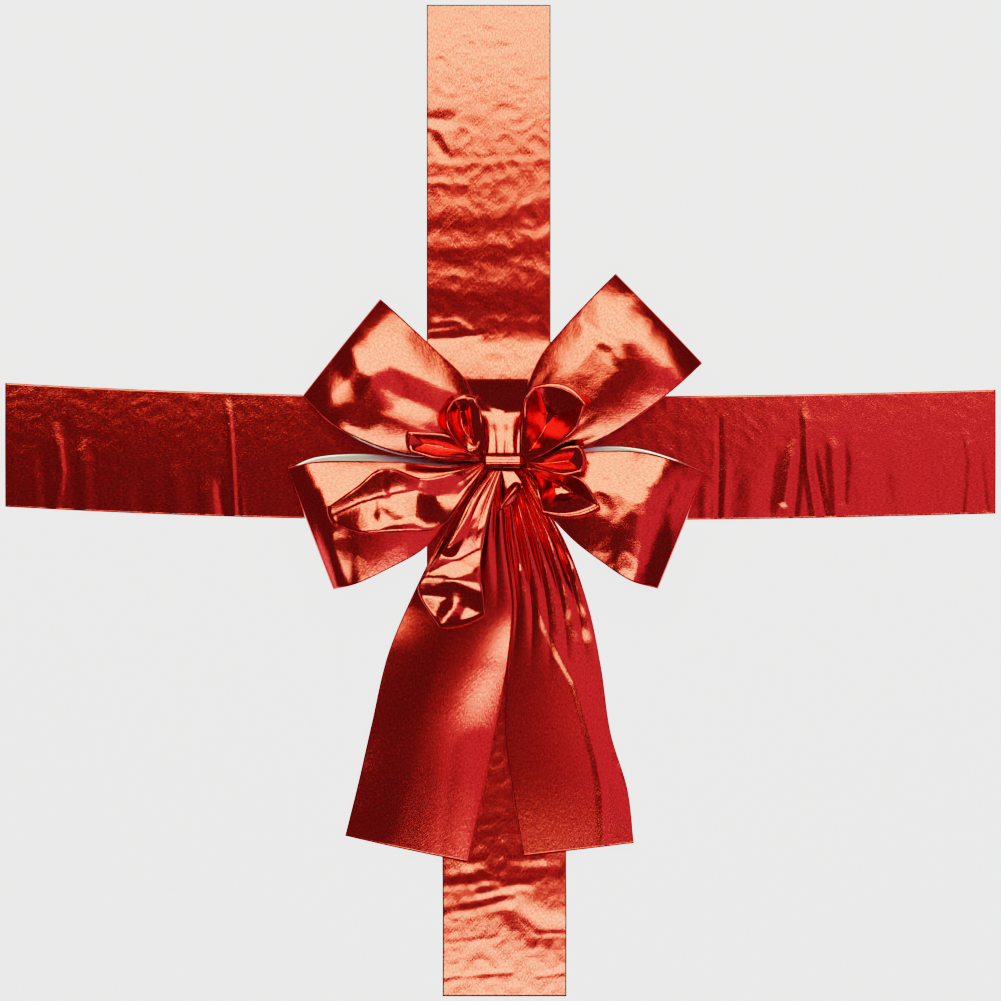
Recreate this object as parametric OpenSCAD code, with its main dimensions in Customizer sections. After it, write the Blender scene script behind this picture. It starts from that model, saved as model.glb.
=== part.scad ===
// Ready-made gift bow: four large ribbon loops, a small loop over the knot, eight
// inner loops and two tails, gathered by a wire on a card and stuck to a ribbon cross.
// The ribbon cross lies flat at z = 0, the knot stands over the origin.

/* [Ribbon] */
// Width of the ribbon that every piece is cut from
ribbon_w = 63.5; // [62:0.5:65]
// Thickness of the ribbon, metallic face and white backing together
ribbon_t = 0.4; // [0.3:0.05:0.5]

/* [Ribbon cross] */
// Length of the band that runs left to right
across_len = 507; // [440:1:600]
// How far the band that runs left to right hangs off a straight line
across_sag = 7; // [0:0.5:10]
// How far the other band reaches past the knot, away from the tails
down_top = 234; // [200:1:300]
// How far the other band reaches past the knot, under the tails
down_foot = 273.5; // [250:0.5:340]
// How far that band drifts to the right between its ends
down_drift = 8; // [0:0.5:10]

/* [Large loops] */
// Direction of the upper left loop, in degrees
upper_left_turn = 144.8; // [143:0.1:147]
// Reach of the upper left loop
upper_left_reach = 102.5; // [98:0.5:108]
// Direction of the upper right loop, in degrees
upper_right_turn = 42.6; // [41:0.1:44]
// Reach of the upper right loop
upper_right_reach = 109; // [98:0.5:112]
// Direction of the lower left loop, in degrees
lower_left_turn = 198.7; // [198:0.1:201]
// Reach of the lower left loop
lower_left_reach = 105; // [98:0.5:108]
// Direction of the lower right loop, in degrees
lower_right_turn = -20.5; // [-22:0.1:-20]
// Reach of the lower right loop
lower_right_reach = 99; // [96:0.5:106]
// How far the front of a large loop swells above a straight line
large_rise = 14; // [12:0.5:15]
// Radius of the fold at the end of a large loop
large_fold_r = 5.5; // [4.5:0.1:5.8]

/* [Tails] */
// Direction of the left tail, in degrees
left_tail_turn = 256.1; // [255:0.1:257]
// Direction of the right tail, in degrees
right_tail_turn = 281.4; // [281:0.1:283]
// Reach of the tails, from the knot to the cut end
tail_reach = 202; // [180:1:215]

/* [Knot] */
// Width of the wrap over the knot
wrap_w = 17.4; // [16:0.2:17.6]
// Thickness of the knot across the wrap
wrap_d = 7; // [6.6:0.1:7.4]
// Height of the top of the wrap
wrap_top = 24; // [23.5:0.1:25]
// Diameter of the tie wire
wire_d = 0.8; // [0.6:0.05:0.9]

/* [Card and pads] */
// Width of the card under the knot
card_w = 30; // [28:1:34]
// Depth of the card under the knot
card_d = 26; // [24:1:30]
// Thickness of the card
card_t = 0.8; // [0.6:0.1:0.8]
// Thickness of the adhesive foam pads
pad_t = 2; // [1.8:0.1:2]

/* [Hidden] */

foil_red = [0.72, 0.07, 0.09];
foil_deep = [0.58, 0.05, 0.06];
backing_white = [0.85, 0.84, 0.82];
foam_white = [0.93, 0.93, 0.9];
wire_grey = [0.62, 0.62, 0.64];

// Stack under the knot, from the surface up
air = 0.05;
tape_t = 0.2;
tape_w = 40;
lift = ribbon_t + tape_t + 2 * air;
pad_z = lift + ribbon_t + air;
card_z = pad_z + pad_t;
card_top = card_z + card_t;

// Waist and its wrap
waist_d = wrap_d - 2 * ribbon_t - 2 * wire_d - 0.4;
waist_r = waist_d / 2;
waist_top = wrap_top - ribbon_t - wire_d - 0.2;
wire_r = wire_d / 2;
wire_y = waist_r + wire_r + 0.1;
hole_r = wire_r + 0.2;

// Where the ribbons leave the waist: large loops and tails low, inner loops high
low_z = 12;
high_z = 19;
large_root = 12;
inner_root = 15;
tail_root = 9.5;
large_gap = 1.7;
inner_gap = 1.4;
cone = 0.8;       // width of a large loop for each unit of distance from the knot
tail_cone = 0.42; // the same for a tail
rest_z = 2.2;     // height of a ribbon that lies over the cross

function mix(a, b, t) = a + (b - a) * t;
function clip(t) = max(0, min(1, t));
function ease(t) = clip(t) * clip(t) * (3 - 2 * clip(t));
function turned(p, angle) = [p.x * cos(angle) - p.y * sin(angle), p.x * sin(angle) + p.y * cos(angle), p.z];

// Closed solid between two grids of points, rows by columns, the first above the second
module between_grids(upper, lower) {
    rows = len(upper);
    cols = len(upper[0]);
    total = rows * cols;
    function up(i, j) = i * cols + j;
    function low(i, j) = total + i * cols + j;
    skins = [for (i = [0:rows - 2], j = [0:cols - 2]) each [
        [up(i, j), up(i, j + 1), up(i + 1, j + 1)],
        [up(i, j), up(i + 1, j + 1), up(i + 1, j)],
        [low(i, j), low(i + 1, j + 1), low(i, j + 1)],
        [low(i, j), low(i + 1, j), low(i + 1, j + 1)]]];
    sides = [for (i = [0:rows - 2]) each let(j = cols - 1) [
        [up(i, 0), up(i + 1, 0), low(i + 1, 0)],
        [up(i, 0), low(i + 1, 0), low(i, 0)],
        [up(i, j), low(i + 1, j), up(i + 1, j)],
        [up(i, j), low(i, j), low(i + 1, j)]]];
    ends = [for (j = [0:cols - 2]) each let(i = rows - 1) [
        [up(0, j + 1), up(0, j), low(0, j)],
        [up(0, j + 1), low(0, j), low(0, j + 1)],
        [up(i, j), up(i, j + 1), low(i, j + 1)],
        [up(i, j), low(i, j + 1), low(i, j)]]];
    polyhedron(points = concat([for (row = upper) each row], [for (row = lower) each row]),
               faces = concat(skins, sides, ends));
}

// Ribbon along a route of [distance out, height, width, crown, pleat depth], turned to
// face a direction. Its upper side is the left side of the route. The skew is how far
// the far end slants for each unit across.
module ribbon(route, turn, skew = 0, pleats = 3, cols = 9) {
    last = len(route) - 1;
    root = route[0][0];
    reach = max([for (p = route) p[0]]);
    function side(i) = let(
        a = route[max(0, i - 1)],
        b = route[min(last, i + 1)],
        run = norm([b[0] - a[0], b[1] - a[1]])) [-(b[1] - a[1]) / run, (b[0] - a[0]) / run];
    function place(i, j, off) = let(
        p = route[i],
        v = j / (cols - 1),
        across = (v - 0.5) * p[2],
        n = side(i),
        deep = off - p[3] * pow(2 * v - 1, 2) + p[4] * cos(360 * pleats * v),
        out = p[0] + n[0] * deep)
        turned([out + skew * across * (p[0] - root) / (reach - root), across, p[1] + n[1] * deep], turn);
    between_grids([for (i = [0:last]) [for (j = [0:cols - 1]) place(i, j, ribbon_t / 2)]],
                  [for (i = [0:last]) [for (j = [0:cols - 1]) place(i, j, -ribbon_t / 2)]]);
}

// Route of a loop: out along the front, round the fold and back along the rear
function loop_route(root, reach, root_z, gap, rise, fold_z, fold_r, slope, full_w, crown, pleat,
                    rear_drop = 0.6, steps = 11, fold_steps = 6) = let(
    far = reach - fold_r,
    wide = function(out) min(full_w, slope * out),
    folds = function(out) pleat * (1 - ease((out - root) / (far - root) / 0.6)),
    front = [for (k = [0:steps]) let(t = k / steps, out = mix(root, far, t))
        [out, mix(root_z + gap, fold_z + 2 * fold_r, t) + rise * sin(180 * t), wide(out),
         crown * sin(180 * t), folds(out)]],
    fold = [for (k = [1:fold_steps - 1]) let(a = 180 * k / fold_steps)
        [far + fold_r * sin(a), fold_z + fold_r + fold_r * cos(a), wide(far), 0, 0]],
    rear = [for (k = [steps:-1:0]) let(t = k / steps, out = mix(root, far, t))
        [out, mix(root_z - gap, fold_z, ease(t / rear_drop)), wide(out), 0, -folds(out)]])
    concat(front, fold, rear);

// Route of an inner loop: both layers follow one raised line, closer together at the waist
function inner_route(root, reach, fold_z, fold_r, rise, slope, full_w, steps = 8, fold_steps = 6) = let(
    far = reach - fold_r,
    belly = 0.6,
    crown = 1.2,
    pleat = 0.4,
    wide = function(out) min(full_w, slope * out),
    centre = function(t) mix(high_z, fold_z + fold_r, t) + rise * sin(180 * t),
    half = function(t) mix(inner_gap, fold_r, t) + belly * sin(180 * t),
    front = [for (k = [0:steps]) let(t = k / steps, out = mix(root, far, t))
        [out, centre(t) + half(t), wide(out), crown * sin(180 * t), pleat * (1 - ease(t / 0.6))]],
    fold = [for (k = [1:fold_steps - 1]) let(a = 180 * k / fold_steps)
        [far + fold_r * sin(a), centre(1) + fold_r * cos(a), wide(far), 0, 0]],
    rear = [for (k = [steps:-1:0]) let(t = k / steps, out = mix(root, far, t))
        [out, centre(t) - half(t), wide(out), -crown * sin(180 * t), -pleat * (1 - ease(t / 0.6))]])
    concat(front, fold, rear);

module large_loop(turn, reach, skew) {
    color(foil_red)
    ribbon(loop_route(large_root, reach, low_z, large_gap, large_rise, rest_z, large_fold_r,
                      cone, ribbon_w, 2, 0.6), turn, skew);
}

module inner_loop(turn, reach, width, fold_z, fold_r, rise, slope, root = inner_root) {
    color(foil_deep)
    ribbon(inner_route(root, reach, fold_z, fold_r, rise, slope, width), turn, 0, 2, 7);
}

// Flat strip along a line of [x, y, z] points, with its width along one direction
module strip(line, width, side) {
    last = len(line) - 1;
    function edge(i, s, up) = line[i] + side * s * width / 2 + [0, 0, up];
    between_grids([for (i = [0:last]) [for (s = [-1, 1]) edge(i, s, ribbon_t)]],
                  [for (i = [0:last]) [for (s = [-1, 1]) edge(i, s, 0)]]);
}

module band_across() {
    half = across_len / 2;
    middle = 1.6;
    line = [for (k = [-10:10]) let(t = k / 10)
        [half * t - 1.2, middle + across_sag * t * t * (t < 0 ? 1 : 0.5), 0]];
    color(foil_red) strip(line, ribbon_w, [0, 1, 0]);
}

// The upper band climbs over the other one where they cross
module band_down() {
    climb = function(y) lift * (1 - ease((abs(y - 2) - 42) / 30));
    drift = function(y) mix(-7.2, down_drift - 7.2, ease((-40 - y) / 160));
    steps = 32;
    line = [for (k = [0:steps]) let(y = mix(down_top, -down_foot, k / steps)) [drift(y), y, climb(y)]];
    color(foil_red) strip(line, ribbon_w, [1, 0, 0]);
}

module crossing_tape() {
    color(backing_white)
    translate([-tape_w / 2 - 4, -tape_w / 2 + 2, ribbon_t + air])
    cube([tape_w, tape_w, tape_t]);
}

// Adhesive pads either side of the twisted wire
pad_w = 10;
pad_d = 22;
pad_x = 3;

module foam_pad_right() {
    color(foam_white)
    translate([pad_x, -pad_d / 2, pad_z])
    cube([pad_w, pad_d, pad_t]);
}

module foam_pad_left() {
    mirror([1, 0, 0]) foam_pad_right();
}

module rounded_plate(w, d, r) {
    union() {
        square([w - 2 * r, d], center = true);
        square([w, d - 2 * r], center = true);
        for (x = [-1, 1], y = [-1, 1])
            translate([x * (w / 2 - r), y * (d / 2 - r)]) circle(r, $fn = 48);
    }
}

module backing_card() {
    color(backing_white)
    translate([0, 0, card_z])
    linear_extrude(card_t)
    difference() {
        rounded_plate(card_w, card_d, 4);
        for (y = [-1, 1]) translate([0, y * wire_y]) circle(hole_r, $fn = 32);
    }
}

// Wire over the waist, through the card, its ends twisted together under the card
module tie_wire() {
    top = waist_top - waist_r;
    foot = card_z - 0.9;
    tail = 9;
    color(wire_grey) {
        translate([0, 0, top])
        rotate([90, 0, 90])
        rotate_extrude(angle = 180, $fn = 48)
        translate([wire_y, 0]) circle(wire_r, $fn = 24);
        for (y = [-1, 1])
            translate([0, y * wire_y, foot]) cylinder(h = top - foot, r = wire_r, $fn = 24);
        translate([0, wire_y + wire_r, foot])
        rotate([90, 0, 0])
        cylinder(h = 2 * (wire_y + wire_r), r = wire_r, $fn = 24);
        translate([0, -wire_y - wire_r, foot])
        rotate([90, 0, 0])
        linear_extrude(tail, twist = 720, slices = 24)
        for (x = [-1, 1]) translate([x * 0.85 * wire_r, 0]) circle(wire_r, $fn = 8);
    }
}

module waist_outline(r, low, high) {
    union() {
        translate([0, low]) circle(r, $fn = 48);
        translate([0, high]) circle(r, $fn = 48);
        translate([-r, low]) square([2 * r, high - low]);
    }
}

// All the ribbon that the wire holds, pressed into one fluted bundle
module pleated_waist() {
    foot = card_top + 0.1;
    flutes = 6;
    flute_r = 0.3;
    color(foil_deep)
    rotate([90, 0, 90])
    translate([0, 0, -wrap_w / 2 - 0.4])
    linear_extrude(wrap_w + 0.8)
    difference() {
        waist_outline(waist_r, foot + waist_r, waist_top - waist_r);
        for (k = [0:flutes - 1], s = [-1, 1])
            translate([s * (waist_r + 0.1), mix(foot + waist_r, waist_top - waist_r, (k + 0.5) / flutes)])
            circle(flute_r, $fn = 24);
    }
}

// Sleeve of ribbon over the wire, open under the waist where the card is
module knot_wrap() {
    foot = card_top + 0.1;
    outer_r = wrap_d / 2;
    inner_r = outer_r - ribbon_t;
    color(foil_red)
    rotate([90, 0, 90])
    translate([0, 0, -wrap_w / 2])
    linear_extrude(wrap_w)
    difference() {
        union() {
            translate([0, wrap_top - outer_r]) circle(outer_r, $fn = 64);
            translate([-outer_r, foot]) square([2 * outer_r, wrap_top - outer_r - foot]);
        }
        translate([0, wrap_top - outer_r]) circle(inner_r, $fn = 64);
        translate([-inner_r, foot - 1]) square([2 * inner_r, wrap_top - outer_r - foot + 1]);
    }
}

module loop_over_knot() {
    color(foil_red)
    ribbon(loop_route(5, 43, 14, 2, 1.5, rest_z, 3.2, 0.7, 30, 0, 0.3, 0.7, 8), 90, 0, 2, 7);
}

module loop_upper_left() { large_loop(upper_left_turn, upper_left_reach, 0.056); }
module loop_upper_right() { large_loop(upper_right_turn, upper_right_reach, -0.024); }
module loop_lower_left() { large_loop(lower_left_turn, lower_left_reach, -0.04); }
module loop_lower_right() { large_loop(lower_right_turn, lower_right_reach, 0.042); }

module inner_loop_upper_left() { inner_loop(124.8, 41, 16, 28.6, 2.6, 2, 0.5); }
module inner_loop_left() { inner_loop(166, 49, 14, 29.5, 2.6, 2, 0.3); }
module inner_loop_upper_right() { inner_loop(51, 52, 31, 30, 3.4, 3, 0.7); }
module inner_loop_right() { inner_loop(3, 41, 10, 28.5, 2.6, 2, 0.3); }
module inner_loop_lower_right() { inner_loop(-25, 54, 23, 30, 3, 3, 0.55); }
module inner_loop_lower_left() { inner_loop(198.5, 90, 41, 25, 3.2, 10, 0.54); }
module inner_loop_foot() { inner_loop(250.4, 89, 23, 8, 3.5, 8, 0.36); }
module inner_loop_curl() { inner_loop(284, 27.5, 8.5, 13.5, 2, 1, 0.4, 11); }

// Single layer from the waist down to the cross and along it to the cut end
module tail(turn, skew) {
    steps = 16;
    route = [for (k = [0:steps]) let(t = k / steps, out = mix(tail_root, tail_reach, t))
        [out, mix(low_z, rest_z, ease(t / 0.45)) + 1.5 * sin(180 * t), min(ribbon_w, tail_cone * out),
         1.5 * sin(180 * t), 0.5 * (1 - ease(t / 0.5))]];
    color(foil_red) ribbon(route, turn, skew);
}

module tail_left() { tail(left_tail_turn, -0.034); }
module tail_right() { tail(right_tail_turn, 0.1); }

band_across();
band_down();
crossing_tape();
foam_pad_left();
foam_pad_right();
backing_card();
tie_wire();
pleated_waist();
knot_wrap();
loop_over_knot();
loop_upper_left();
loop_upper_right();
loop_lower_left();
loop_lower_right();
inner_loop_upper_left();
inner_loop_left();
inner_loop_upper_right();
inner_loop_right();
inner_loop_lower_right();
inner_loop_lower_left();
inner_loop_foot();
inner_loop_curl();
tail_left();
tail_right();
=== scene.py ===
import bpy
import bmesh
import numpy as np
from math import radians, cos, sin, pi
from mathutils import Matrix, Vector, noise


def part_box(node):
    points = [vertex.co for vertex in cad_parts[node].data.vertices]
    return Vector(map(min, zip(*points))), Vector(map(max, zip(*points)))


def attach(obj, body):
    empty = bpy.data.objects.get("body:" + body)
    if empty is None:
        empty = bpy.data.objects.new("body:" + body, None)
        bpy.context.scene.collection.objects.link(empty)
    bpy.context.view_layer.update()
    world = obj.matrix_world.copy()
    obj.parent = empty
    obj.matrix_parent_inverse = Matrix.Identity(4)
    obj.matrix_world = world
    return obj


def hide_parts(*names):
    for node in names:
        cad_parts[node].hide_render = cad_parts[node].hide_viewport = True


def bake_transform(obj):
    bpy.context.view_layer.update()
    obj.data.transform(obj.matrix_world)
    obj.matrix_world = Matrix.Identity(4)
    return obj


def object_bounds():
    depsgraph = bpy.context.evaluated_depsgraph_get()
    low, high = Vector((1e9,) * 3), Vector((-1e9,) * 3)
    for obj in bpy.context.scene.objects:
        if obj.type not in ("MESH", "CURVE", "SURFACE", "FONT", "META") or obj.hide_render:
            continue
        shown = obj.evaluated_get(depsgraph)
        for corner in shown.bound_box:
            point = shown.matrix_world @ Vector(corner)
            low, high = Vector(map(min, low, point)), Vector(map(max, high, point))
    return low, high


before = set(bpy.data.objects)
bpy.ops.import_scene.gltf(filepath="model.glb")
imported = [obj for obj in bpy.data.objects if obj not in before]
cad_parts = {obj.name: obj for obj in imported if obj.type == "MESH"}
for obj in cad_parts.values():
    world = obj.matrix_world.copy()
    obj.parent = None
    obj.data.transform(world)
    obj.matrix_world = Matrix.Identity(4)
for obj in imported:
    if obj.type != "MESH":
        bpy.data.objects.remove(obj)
cadLow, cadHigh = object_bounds()
print("frame loaded")

mm = 0.001
ribbonWidth = 63.5      # mm, the stock that every piece is cut from
ribbonThickness = 0.35  # mm
layerAir = 0.8          # mm, the extra gap half way along an inner loop
pleatStart = 0.7        # radians, where the pleats' wave starts across the ribbon
foamEdge = 0.5          # mm
tied = "tied_centre"


# camera, straight above the cross

cameraValues = {"lens": 110, "sensor": 36, "margin": 1.0101}


def makeCamera(values):
    data = bpy.data.cameras.new("aboveCamera")
    data.lens = values["lens"]
    data.sensor_width = values["sensor"]
    half = max(cadHigh.x - cadLow.x, cadHigh.y - cadLow.y) / 2 * values["margin"]
    height = half * values["lens"] / (values["sensor"] / 2)
    camera = bpy.data.objects.new("aboveCamera", data)
    camera.location = ((cadLow.x + cadHigh.x) / 2, (cadLow.y + cadHigh.y) / 2, height)
    bpy.context.scene.collection.objects.link(camera)
    bpy.context.scene.camera = camera


makeCamera(cameraValues)
bpy.context.scene.view_settings.view_transform = "Filmic"
bpy.context.scene.view_settings.look = "Very High Contrast"
print("camera ready")


# meshes and materials

def placeMesh(bm, name, *materials):
    mesh = bpy.data.meshes.new(name)
    bm.to_mesh(mesh)
    bm.free()
    thing = bpy.data.objects.new(name, mesh)
    bpy.context.scene.collection.objects.link(thing)
    for material in materials:
        mesh.materials.append(material)
    return thing


def thicken(thing):
    shell = thing.modifiers.new("thickness", "SOLIDIFY")
    shell.thickness = ribbonThickness * mm
    shell.offset = -1
    shell.material_offset = 1
    shell.material_offset_rim = 0


def startMaterial(name):
    material = bpy.data.materials.new(name)
    material.use_nodes = True
    nodes = material.node_tree.nodes
    return material, nodes, material.node_tree.links, nodes["Principled BSDF"]


def stretchedNoise(nodes, links, scale, detail, roughness=0.5, turn=0.0, distortion=0.0):
    where = nodes.new("ShaderNodeUVMap")
    where.uv_map = "ribbon"
    turned = nodes.new("ShaderNodeMapping")
    turned.inputs["Rotation"].default_value = (0, 0, turn)
    links.new(where.outputs["UV"], turned.inputs["Vector"])
    mapping = nodes.new("ShaderNodeMapping")
    mapping.inputs["Scale"].default_value = (scale[0], scale[1], 1)
    links.new(turned.outputs["Vector"], mapping.inputs["Vector"])
    texture = nodes.new("ShaderNodeTexNoise")
    texture.inputs["Scale"].default_value = 1
    texture.inputs["Detail"].default_value = detail
    texture.inputs["Roughness"].default_value = roughness
    texture.inputs["Distortion"].default_value = distortion
    links.new(mapping.outputs["Vector"], texture.inputs["Vector"])
    return texture.outputs["Fac"]


def addBump(nodes, links, height, distance, previous=None):
    bump = nodes.new("ShaderNodeBump")
    bump.inputs["Strength"].default_value = 1
    bump.inputs["Distance"].default_value = distance
    links.new(height, bump.inputs["Height"])
    if previous is not None:
        links.new(previous, bump.inputs["Normal"])
    return bump.outputs["Normal"]


foilFaceValues = {
    "light": (0.86, 0.102, 0.094, 1),
    "deep": (0.54, 0.046, 0.049, 1),
    "roughness": 0.125,
    "toneBand": (0.35, 0.65),
    # depths in metres
    "wrinkle": 0.00014,
    "mottle": 0.00006,
    "streak": 0.00004,
    "grain": 0.00014,
}


def makeFoilFace(name, values, wrinkle, mottle, streak, grain):
    material, nodes, links, shader = startMaterial(name)
    shader.inputs["Metallic"].default_value = 1
    shader.inputs["Roughness"].default_value = values["roughness"]
    tone = stretchedNoise(nodes, links, (1300, 650), 3, 0.7)
    ramp = nodes.new("ShaderNodeValToRGB")
    ramp.color_ramp.elements[0].position = values["toneBand"][0]
    ramp.color_ramp.elements[0].color = values["deep"]
    ramp.color_ramp.elements[1].position = values["toneBand"][1]
    ramp.color_ramp.elements[1].color = values["light"]
    links.new(tone, ramp.inputs["Fac"])
    links.new(ramp.outputs["Color"], shader.inputs["Base Color"])
    normal = addBump(nodes, links, stretchedNoise(nodes, links, (60, 75), 2, 0.5),
                     values["wrinkle"] * wrinkle)
    normal = addBump(nodes, links, stretchedNoise(nodes, links, (330, 400), 3, 0.6, 0, 0.3),
                     values["mottle"] * mottle, normal)
    # crossed scratches, then the threads, which run along the ribbon
    for angle in (0.75, -0.55):
        scratch = stretchedNoise(nodes, links, (1500, 90), 2, 0.5, angle)
        normal = addBump(nodes, links, scratch, values["streak"] * streak, normal)
    normal = addBump(nodes, links, stretchedNoise(nodes, links, (1500, 600), 3, 0.7),
                     values["grain"] * grain, normal)
    links.new(normal, shader.inputs["Normal"])
    return material


silverValues = {"color": (0.76, 0.62, 0.68, 1), "roughness": 0.3, "weave": 0.00002}


def makeSilverBack(values):
    material, nodes, links, shader = startMaterial("silverBack")
    shader.inputs["Metallic"].default_value = 1
    shader.inputs["Roughness"].default_value = values["roughness"]
    shader.inputs["Base Color"].default_value = values["color"]
    grain = stretchedNoise(nodes, links, (1200, 400), 2)
    links.new(addBump(nodes, links, grain, values["weave"]), shader.inputs["Normal"])
    return material


def makePlain(name, color, roughness, metallic=0.0, grainScale=900, grain=0.00004):
    material, nodes, links, shader = startMaterial(name)
    shader.inputs["Base Color"].default_value = color
    shader.inputs["Roughness"].default_value = roughness
    shader.inputs["Metallic"].default_value = metallic
    where = nodes.new("ShaderNodeTexCoord")
    texture = nodes.new("ShaderNodeTexNoise")
    texture.inputs["Scale"].default_value = grainScale
    texture.inputs["Detail"].default_value = 4
    links.new(where.outputs["Object"], texture.inputs["Vector"])
    links.new(addBump(nodes, links, texture.outputs["Fac"], grain), shader.inputs["Normal"])
    return material


# the last four numbers: how much wrinkle, mottle, streak and grain
loopFoil = makeFoilFace("loopFoil", foilFaceValues, 0.6, 0.45, 0.5, 0.4)
innerFoil = makeFoilFace("innerLoopFoil", foilFaceValues, 0.4, 0.5, 0.3, 0.3)
tailFoil = makeFoilFace("tailFoil", foilFaceValues, 0.3, 0.2, 0.4, 0.3)
bandFoil = makeFoilFace("bandFoil", foilFaceValues, 0.25, 0.13, 0.7, 0.35)
silverBack = makeSilverBack(silverValues)
foamSkin = makePlain("foamPadSkin", (0.86, 0.85, 0.8, 1), 0.85, 0.0, 1400, 0.0002)
cardFace = makePlain("cardFace", (0.78, 0.75, 0.68, 1), 0.8, 0.0, 700, 0.00005)
tapeFilm = makePlain("tapeFilm", (0.82, 0.8, 0.72, 1), 0.35, 0.0, 500, 0.00002)
wireMetal = makePlain("wireMetal", (0.55, 0.55, 0.56, 1), 0.32, 1.0, 1500, 0.00002)
print("materials ready")


# ribbon sheets

def ease(t):
    t = np.clip(t, 0, 1)
    return t * t * (3 - 2 * t)


def alongRows(rows, t):
    # a smooth line through equally spaced rows of numbers
    rows = np.array(rows, float)
    rows = np.vstack([2 * rows[0] - rows[1], rows, 2 * rows[-1] - rows[-2]])
    x = np.clip(t, 0, 1) * (len(rows) - 3)
    i = np.minimum(x.astype(int), len(rows) - 4)
    f = (x - i)[:, None]
    a, b, c, d = rows[i], rows[i + 1], rows[i + 2], rows[i + 3]
    square = (2 * a - 5 * b + 4 * c - d) * f ** 2
    cube = (3 * b - a - 3 * c + d) * f ** 3
    return 0.5 * (2 * b + (c - a) * f + square + cube)


def distanceTo(x, y, line):
    best = np.full(len(x), 1e9)
    for (ax, ay), (bx, by) in zip(line[:-1], line[1:]):
        dx, dy = bx - ax, by - ay
        s = np.clip(((x - ax) * dx + (y - ay) * dy) / (dx * dx + dy * dy), 0, 1)
        best = np.minimum(best, np.hypot(x - ax - s * dx, y - ay - s * dy))
    return best


def tent(distance, width, crest):
    # straight sides, a crest of its own radius and a soft foot
    s = 1 - (np.sqrt(distance ** 2 + crest ** 2) - crest) / width
    return np.where(s < 0.3, np.clip(s, 0, 1) ** 2 / 0.6, s - 0.15) / 0.85


def crumpleAt(x, y, amplitude, size, seed):
    values = [1 - 2.6 * abs(noise.noise(Vector((a / size, b / size, seed)))) for a, b in zip(x, y)]
    return amplitude * np.array(values)


def layerHeight(piece, u, t, rows, isFront):
    x = rows[:, 0] * (1 - u) + rows[:, 2] * u
    y = rows[:, 1] * (1 - u) + rows[:, 3] * u
    wide = np.hypot(rows[:, 2] - rows[:, 0], rows[:, 3] - rows[:, 1])
    bulge = 1 - (2 * u - 1) ** 2
    z = rows[:, 4] + rows[:, 5] * bulge + rows[:, 6] * (u - 0.5)
    if isFront and "droop" in piece:
        fall, start = piece["droop"]
        z = z - fall * np.clip((t - start) / (1 - start), 0, 1) ** 2
    pleats = piece.get("pleats")
    if pleats:
        count, depth, reach = pleats
        wave = np.abs(np.sin(pi * count * u + pleatStart)) * 2 - 1
        sign = 1 if isFront else -1
        z = z + sign * depth * wave * (1 - ease(t / reach)) * np.clip(wide / 20, 0.25, 1)
    if isFront:
        bowOut = rows[:, 7] * bulge
        ax, ay = rows[:, 3] - rows[:, 1], rows[:, 0] - rows[:, 2]
        run = np.maximum(np.hypot(ax, ay), 1e-6)
        x, y = x - ax / run * bowOut * t, y - ay / run * bowOut * t
        for line, height, width, crest in piece.get("ridges", ()):
            raised = height * tent(distanceTo(x, y, line), width, crest)
            if "fade" in piece:
                # creases die out where they start, inside the ribbon
                raised = raised * ease(np.hypot(x - line[0][0], y - line[0][1]) / piece["fade"])
            z = z + raised
        for dx, dy, height, radius in piece.get("dents", ()):
            z = z + height * np.exp(-((x - dx) ** 2 + (y - dy) ** 2) / radius ** 2)
        for amplitude, size, seed in piece.get("crumples", ()):
            z = z + crumpleAt(x, y, amplitude, size, seed)
    if "dish" in piece:
        depth, rim, wall, roll = piece["dish"]
        inside = np.minimum(np.minimum(u, 1 - u) * wide, (1 - t) * piece["reach"])
        sinks = ease(t / 0.35)
        z = z - sinks * depth * np.clip((inside - rim) / wall, 0, 1) ** 1.1
        if isFront:
            z = z - sinks * roll * np.clip(1 - inside / rim, 0, 1) ** 2
    return np.stack([x, y, z], 1)


def rearLayer(piece, u, t):
    # an inner loop's rear layer hugs its front one, with a little air between them
    if "hug" not in piece:
        return layerHeight(piece, u, t, alongRows(piece["rear"], t), False)
    points = layerHeight(piece, u, t, alongRows(piece["front"], t), True)
    near, far = piece["hug"]
    points[:, 2] -= near + (far - near) * ease(t) + layerAir * np.sin(pi * t)
    return points


def ribbonPoints(piece, u, w):
    # w runs out along the front, round the fold and back along the rear
    front = piece["front"]
    if piece.get("open"):
        return layerHeight(piece, u, w, alongRows(front, w), True)
    shareFront, shareFold = piece["shares"]
    points = np.zeros((len(u), 3))
    isFront = w <= shareFront + 1e-9
    isRear = w >= shareFront + shareFold - 1e-9
    isFold = ~(isFront | isRear)
    t = w[isFront] / shareFront
    points[isFront] = layerHeight(piece, u[isFront], t, alongRows(front, t), True)
    t = (1 - w[isRear]) / (1 - shareFront - shareFold)
    points[isRear] = rearLayer(piece, u[isRear], t)
    if isFold.any():
        uf = u[isFold]
        one = np.ones(len(uf))
        upper = layerHeight(piece, uf, one, alongRows(front, one), True)
        lower = rearLayer(piece, uf, one)
        turn = ((w[isFold] - shareFront) / shareFold * pi)[:, None]
        last = front[-1]
        out = np.array([last[1] - last[3], last[2] - last[0], 0.0])
        out = out / np.linalg.norm(out)
        mixed = (upper + lower) / 2 + (upper - lower) / 2 * np.cos(turn)
        points[isFold] = mixed + out * piece["foldReach"] * np.sin(turn)
    return points


def pathLength(piece, first, last):
    w = np.linspace(first, last, 60)
    return np.linalg.norm(np.diff(ribbonPoints(piece, np.full(60, 0.5), w), axis=0), axis=1).sum()


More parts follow.
